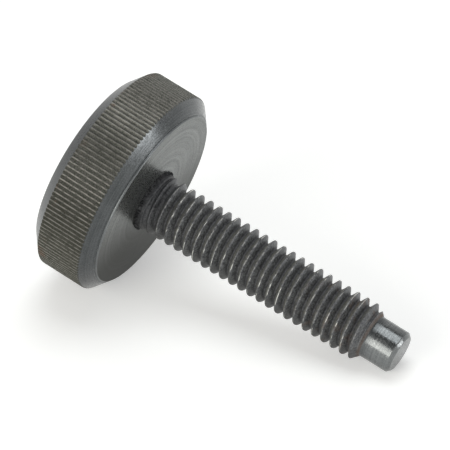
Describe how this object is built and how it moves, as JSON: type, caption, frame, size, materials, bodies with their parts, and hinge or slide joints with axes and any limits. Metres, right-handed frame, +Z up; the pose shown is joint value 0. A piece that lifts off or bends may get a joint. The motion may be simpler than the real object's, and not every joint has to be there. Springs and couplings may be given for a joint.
{
  "type": "knurled head screw",
  "caption": "Thumb screw turned from one bar: a wide flat head with a straight-knurled rim, chamfers above and below it, a fully threaded shank and a plain cylindrical dog point.",
  "frame": {"origin": "middle of the footprint, on the surface that the screw lies on", "axes": "+Z up, +X along the screw over the ground, from the head to the point; the screw's own axis leans 16.2 degrees down towards the point"},
  "size_m": [0.0498, 0.0286, 0.0291],
  "materials": {
    "black_oxide_steel": "black oxide over turned steel, satin, with a little rust in the knurl and in the last grooves"
  },
  "bodies": {
    "root": {"knurled_head_screw": "black_oxide_steel"}
  },
  "joints": []
}
